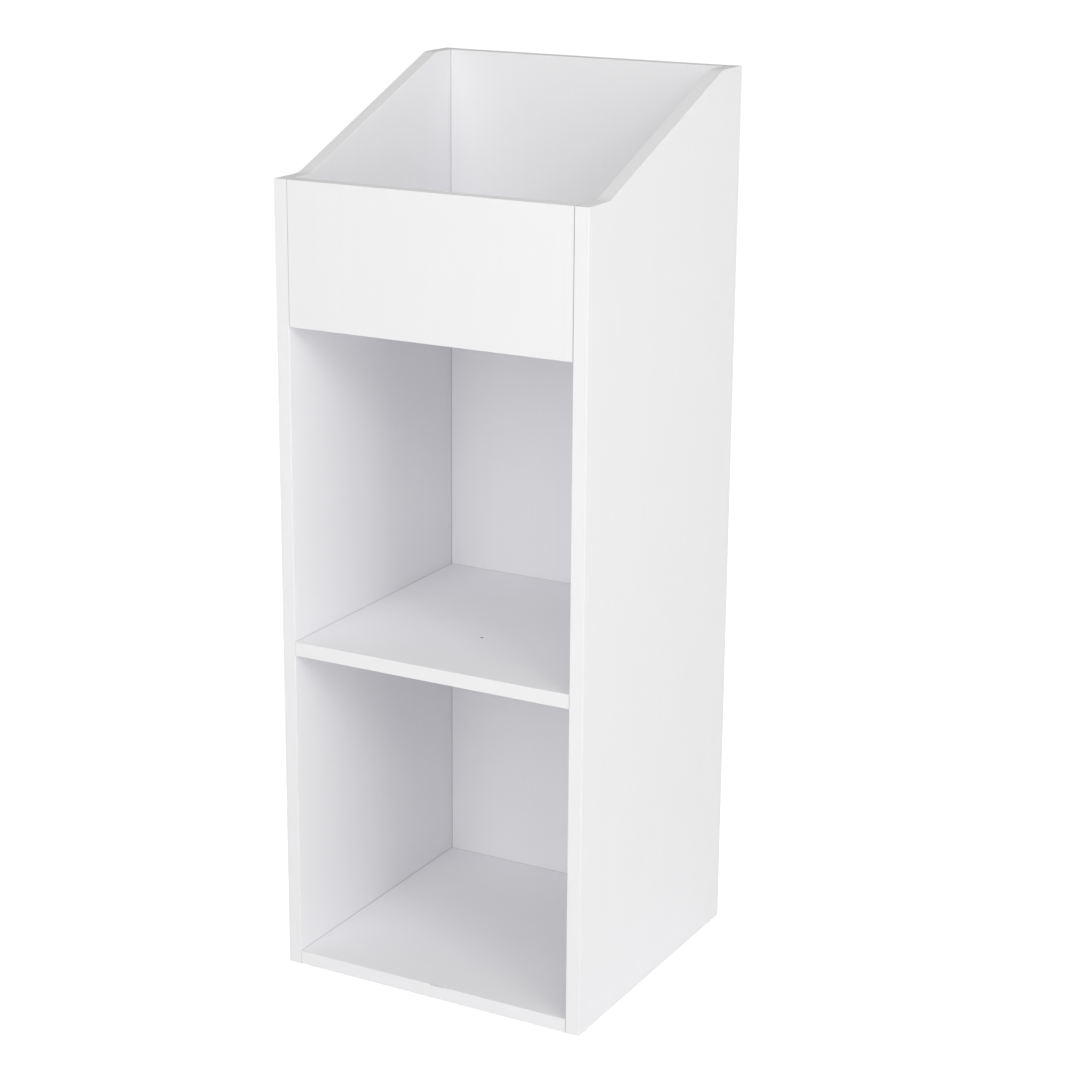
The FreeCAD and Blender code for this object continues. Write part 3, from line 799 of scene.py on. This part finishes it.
def cap_profile(radius):
    """From the middle of the face, out over the rim, under the disc and down the peg."""
    flat = radius - CAP_RIM
    shares = [step / CAP_STEPS for step in range(CAP_STEPS + 1)]
    face = [(CAP_THICKNESS - CAP_DOME * share ** 2, flat * share) for share in shares]
    drop = CAP_THICKNESS - CAP_DOME - CAP_RIM
    turn = [math.pi / 2 * share for share in shares[1:]]
    edge = [(drop + CAP_RIM * math.cos(a), flat + CAP_RIM * math.sin(a)) for a in turn]
    peg = cross(*CAP_CROSS)
    taper = cross(CAP_CROSS[0] * CAP_TAPER[0], CAP_CROSS[1] * CAP_TAPER[1])
    under = [(0.0, radius), (0.0, radius * 0.6), (0.0, peg), (-CAP_PEG_LENGTH * 0.8, peg)]
    return face + edge + under + [(-CAP_PEG_LENGTH, taper), (-CAP_PEG_LENGTH, 0.0)]


def make_caps(node, material):
    work = bmesh.new()
    for low, high in piece_boxes(node):
        middle = (low + high) / 2
        base = Vector((middle.x, high.y - CAP_THICKNESS, middle.z))
        profile = cap_profile((high.x - low.x) / 2)
        turned(work, profile, CAP_AROUND, axis_place(base, Vector((0, 1, 0))))
    mount_fitting(work, node, material)


cap_finish = cap_plastic()
for node in ("back_board_cam_caps", "bin_front_cam_caps"):
    make_caps(node, cap_finish)

# %% [markdown]
# ## Dowels
# Beech dowels line the boards up and share the load with the bolts. They are fluted, so
# that glue and air can escape when they are driven in, and chamfered at both ends. The
# flutes are part of the outline: the radius dips at even steps round the dowel, and comes
# back to full at the chamfers. Beech is pale, with short dark flecks along the grain.

# %% Dowels
DOWEL_FLUTES = 12
FLUTE_DEPTH = 0.28 * MM
DOWEL_CHAMFER = 1.0 * MM
DOWEL_TIP_SOFT = 0.08 * DOWEL_CHAMFER
FLUTE_START = 1.6 * DOWEL_CHAMFER
DOWEL_AROUND = 96
BEECH_FIBRE = (9 * MM, 0.25 * MM)
BEECH_RAY = (2.4 * MM, 0.35 * MM)
BEECH_RELIEF = 0.04 * MM
BEECH_LIGHT = (0.66, 0.47, 0.29)
BEECH_DARK = (0.50, 0.33, 0.19)
BEECH_FLECK = (0.30, 0.17, 0.09)


def beech(name, axis):
    """Beech with its grain along one axis."""
    finish = Finish(name, IOR=1.45)
    fibres = clouds(finish, on_axis(axis, *BEECH_FIBRE), 3.0, 0.6)
    flecks = 1 - between(finish, cells(finish, on_axis(axis, *BEECH_RAY)), 0.10, 0.22)
    colour = blended(finish, BEECH_LIGHT, BEECH_DARK, fibres)
    colour = blended(finish, colour, BEECH_FLECK, flecks * 0.6)
    return finish.feed(Base_Color=colour, Roughness=0.62 + fibres * 0.2,
                       Normal=relief(finish, fibres, BEECH_RELIEF))


def fluted(radius, share):
    """A round outline with flutes cut to a share of their depth."""
    def at(angle):
        wave = 0.5 - 0.5 * math.cos(DOWEL_FLUTES * angle)
        return radius - FLUTE_DEPTH * share * wave ** 3
    return at


def dowel_profile(length, radius):
    """Half a dowel, and its mirror image for the other end."""
    tip = radius - DOWEL_CHAMFER
    half = [(0.0, 0.0), (0.0, tip * 0.5), (0.0, tip), (DOWEL_TIP_SOFT, tip + DOWEL_TIP_SOFT),
            (DOWEL_CHAMFER, fluted(radius, 0.6)), (FLUTE_START, fluted(radius, 1.0))]
    other_half = [(length - reach, out) for reach, out in reversed(half)]
    return half + [(length / 2, fluted(radius, 1.0))] + other_half


def make_dowels(node, axis, material):
    work = bmesh.new()
    for low, high in piece_boxes(node):
        start = (low + high) / 2
        start[axis] = low[axis]
        length = high[axis] - low[axis]
        radius = (high.z - low.z) / 2
        heading = Vector([1.0 if side == axis else 0.0 for side in range(3)])
        turned(work, dowel_profile(length, radius), DOWEL_AROUND, axis_place(start, heading))
    mount_fitting(work, node, material)


side_beech = beech("beech_grain_across", X)
rear_beech = beech("beech_grain_front_to_back", Y)
for node in sorted(name for name in cad_nodes if name.endswith("_dowels")):
    if node.endswith("_side_dowels"):
        make_dowels(node, X, side_beech)
    else:
        make_dowels(node, Y, rear_beech)

# %% [markdown]
# ## Connecting bolts
# Each cam pulls on the round head of a bolt whose coarse thread bites straight into the
# side board. The CAD model draws that thread as rings, which is enough for its volume.
# Here it climbs, as it must to screw in: the height of a point on the thread depends on
# its angle as well as on its distance along the bolt.

# %% The shape of a bolt
BOLT_PITCH = 1.8 * MM
THREAD_LENGTH = 11 * MM
THREAD_ROWS = 10
FIRST_THREAD_ROW = 3
THREAD_RUN_IN = 1.5
THREAD_RUN_OUT = 0.2
FLANK_HEIGHT = 1.5
FLANK_SLOPE = 3.75
CREST_RADIUS = 3.1 * MM
ROOT_RADIUS = 2.2 * MM
COLLAR = (3.8 * MM, 2.5 * MM)
SHAFT_RADIUS = 3.0 * MM
SHAFT_END = 16 * MM
NECK_RADIUS = 1.9 * MM
HEAD_CENTRE = 24 * MM
HEAD_RADIUS = 3.5 * MM
HEAD_CUT = 0.8 * MM
HEAD_CROSS = (3.2 * MM, 0.8 * MM)
HEAD_CROSS_DEPTH = 1.8 * MM
BOLT_SOFT_EDGE = 0.15 * MM
HEAD_STEPS = 12
BOLT_AROUND = 40


def thread_row(reach):
    """The thread's outline at one distance from the collar, as a radius for each angle."""
    from_tip = (THREAD_LENGTH + reach) / BOLT_PITCH
    share = min(1.0, from_tip / THREAD_RUN_IN, -reach / BOLT_PITCH + THREAD_RUN_OUT)

    def at(angle):
        turn = (from_tip - angle / (2 * math.pi)) % 1.0
        flank = min(1.0, max(0.0, FLANK_HEIGHT - FLANK_SLOPE * abs(turn - 0.5)))
        return ROOT_RADIUS + (CREST_RADIUS - ROOT_RADIUS) * flank * share

    return at


def bolt_profile():
    rows = int(THREAD_LENGTH / BOLT_PITCH * THREAD_ROWS)
    tip = ROOT_RADIUS - BOLT_PITCH / 2
    profile = [(-THREAD_LENGTH, 0.0), (-THREAD_LENGTH, tip)]
    for row in range(FIRST_THREAD_ROW, rows):
        reach = -THREAD_LENGTH + THREAD_LENGTH * row / rows
        profile.append((reach, thread_row(reach)))
    soft = BOLT_SOFT_EDGE
    profile += [(0.0, ROOT_RADIUS), (0.0, COLLAR[0] - soft), (soft, COLLAR[0]),
                (COLLAR[1] - soft, COLLAR[0]), (COLLAR[1], COLLAR[0] - soft),
                (COLLAR[1], SHAFT_RADIUS), (SHAFT_END - soft, SHAFT_RADIUS),
                (SHAFT_END, SHAFT_RADIUS - soft), (SHAFT_END, NECK_RADIUS)]
    first = -math.sqrt(HEAD_RADIUS ** 2 - NECK_RADIUS ** 2)
    last = HEAD_RADIUS - HEAD_CUT
    for step in range(HEAD_STEPS + 1):
        out = first + (last - first) * step / HEAD_STEPS
        profile.append((HEAD_CENTRE + out, math.sqrt(HEAD_RADIUS ** 2 - out ** 2)))
    recess = cross(*HEAD_CROSS)
    face = HEAD_CENTRE + last
    floor = face - HEAD_CROSS_DEPTH
    profile += [(face, recess), (floor, recess), (floor, 0.0)]
    return profile


print("rows in a bolt:", len(bolt_profile()))

# %% [markdown]
# ## Zinc-plated steel
# The bolts are zinc-plated, so they are bright and slightly blue, with fine turning marks
# round them and a duller bloom here and there. A metal's look is mostly its reflections, so
# the marks go into the roughness and the normal, and the bloom into the colour as well.

# %% Connecting bolts
PLATED = (0.70, 0.72, 0.75)
PLATED_DULL = (0.52, 0.54, 0.56)
TURNING_MARKS = (0.06 * MM, 2 * MM, 2 * MM)
PLATING_BLOOM = 2.5 * MM
PLATING_RELIEF = 0.008 * MM


def plated_steel():
    finish = Finish("zinc_plated_steel", Metallic=1.0)
    marks = clouds(finish, TURNING_MARKS)
    bloom = clouds(finish, PLATING_BLOOM, 3.0, 0.6)
    colour = blended(finish, PLATED, PLATED_DULL, bloom)
    return finish.feed(Base_Color=colour, Roughness=0.22 + marks * 0.12 + bloom * 0.16,
                       Normal=relief(finish, marks, PLATING_RELIEF))


def make_bolts(node, material):
    work = bmesh.new()
    profile = bolt_profile()
    for low, high in piece_boxes(node):
        middle = (low + high) / 2
        outward = math.copysign(1.0, middle.x)
        tip = high.x if outward > 0 else low.x
        start = Vector((tip - outward * THREAD_LENGTH, middle.y, middle.z))
        turned(work, profile, BOLT_AROUND, axis_place(start, Vector((-outward, 0, 0))))
    mount_fitting(work, node, material)


bolt_finish = plated_steel()
for node in sorted(name for name in cad_nodes if name.endswith("_cam_bolts")):
    make_bolts(node, bolt_finish)

# %% [markdown]
# ## Cam locks
# The cams are die-cast zinc: grey, dull, and faintly grainy from the mould, brighter where
# a screwdriver has turned in the cross and where the rim was handled. Their CAD shape is
# already complete, with the chamber, the mouth and the engraved arrow, so it stays and
# only gets its finish.

# %% Cam locks
ZINC = (0.47, 0.48, 0.49)
ZINC_BRIGHT = (0.68, 0.69, 0.70)
ZINC_DARK = (0.30, 0.305, 0.31)
MOULD_GRAIN = 0.35 * MM
ZINC_STAIN = 4 * MM
ZINC_RUBBED = 1.6 * MM
ZINC_RELIEF = 0.05 * MM


def cast_zinc():
    finish = Finish("cast_zinc", Metallic=1.0)
    mould = clouds(finish, MOULD_GRAIN)
    stain = clouds(finish, ZINC_STAIN, 3.0, 0.6)
    rubbed = between(finish, clouds(finish, ZINC_RUBBED, 4.0, 0.65), 0.54, 0.68)
    colour = blended(finish, ZINC, ZINC_DARK, stain)
    colour = blended(finish, colour, ZINC_BRIGHT, rubbed * 0.7)
    return finish.feed(Base_Color=colour, Roughness=0.48 + mould * 0.16 - rubbed * 0.16,
                       Normal=relief(finish, mould, ZINC_RELIEF))


cam_finish = cast_zinc()
cams = sorted(name for name in cad_nodes if name.endswith("_cam_locks"))
for node in cams:
    cover(node, cam_finish)
print("cam sets:", len(cams))

# %% [markdown]
# ## Glides and their nails
# Four hard plastic glides are nailed under the side boards and carry the cabinet. They are
# off-white, and scuffed dull and a little grey on the face that slides over the floor. The
# scuffs are long scratches in two directions, kept to the lowest part by the height of
# the place above the floor. The nail heads sit just inside the glides, in bright steel.

# %% Glides and nails
GLIDE_WHITE = (0.74, 0.73, 0.70)
GLIDE_SCUFFED = (0.46, 0.45, 0.43)
SCUFF_HEIGHT = 0.5 * MM
SCUFFS_ACROSS = (0.2 * MM, 16 * MM, 9 * MM)
SCUFFS_ALONG = (14 * MM, 0.25 * MM, 9 * MM)
GLIDE_SPARK = 0.3 * MM
GLIDE_RELIEF = 0.03 * MM
NAIL_BRIGHT = (0.60, 0.60, 0.60)
NAIL_SPOT = (0.33, 0.27, 0.22)
NAIL_DRAWN = (0.1 * MM, 0.1 * MM, 5 * MM)
NAIL_SPOT_SIZE = 0.9 * MM
NAIL_RELIEF = 0.01 * MM


def glide_plastic():
    finish = Finish("glide_plastic", IOR=1.5)
    sparked = clouds(finish, GLIDE_SPARK, 1.0)
    one_way = between(finish, clouds(finish, SCUFFS_ACROSS, 3.0), 0.52, 0.66)
    other_way = between(finish, clouds(finish, SCUFFS_ALONG, 3.0), 0.55, 0.7)
    near_floor = 1 - between(finish, along(finish, Z), SCUFF_HEIGHT, 3 * SCUFF_HEIGHT)
    scuffs = near_floor * (0.25 + one_way * 0.5 + other_way * 0.25)
    colour = blended(finish, GLIDE_WHITE, GLIDE_SCUFFED, scuffs)
    return finish.feed(Base_Color=colour, Roughness=0.40 + sparked * 0.08 + scuffs * 0.3,
                       Normal=relief(finish, sparked * 0.4 + scuffs, GLIDE_RELIEF))


def bright_steel():
    finish = Finish("nail_steel", Metallic=1.0)
    drawn = clouds(finish, NAIL_DRAWN)
    spots = between(finish, clouds(finish, NAIL_SPOT_SIZE, 4.0, 0.7), 0.6, 0.74)
    colour = blended(finish, NAIL_BRIGHT, NAIL_SPOT, spots * 0.6)
    return finish.feed(Base_Color=colour, Roughness=0.26 + drawn * 0.14 + spots * 0.3,
                       Normal=relief(finish, drawn, NAIL_RELIEF))


cover("glide_pads", glide_plastic())
cover("glide_nails", bright_steel())
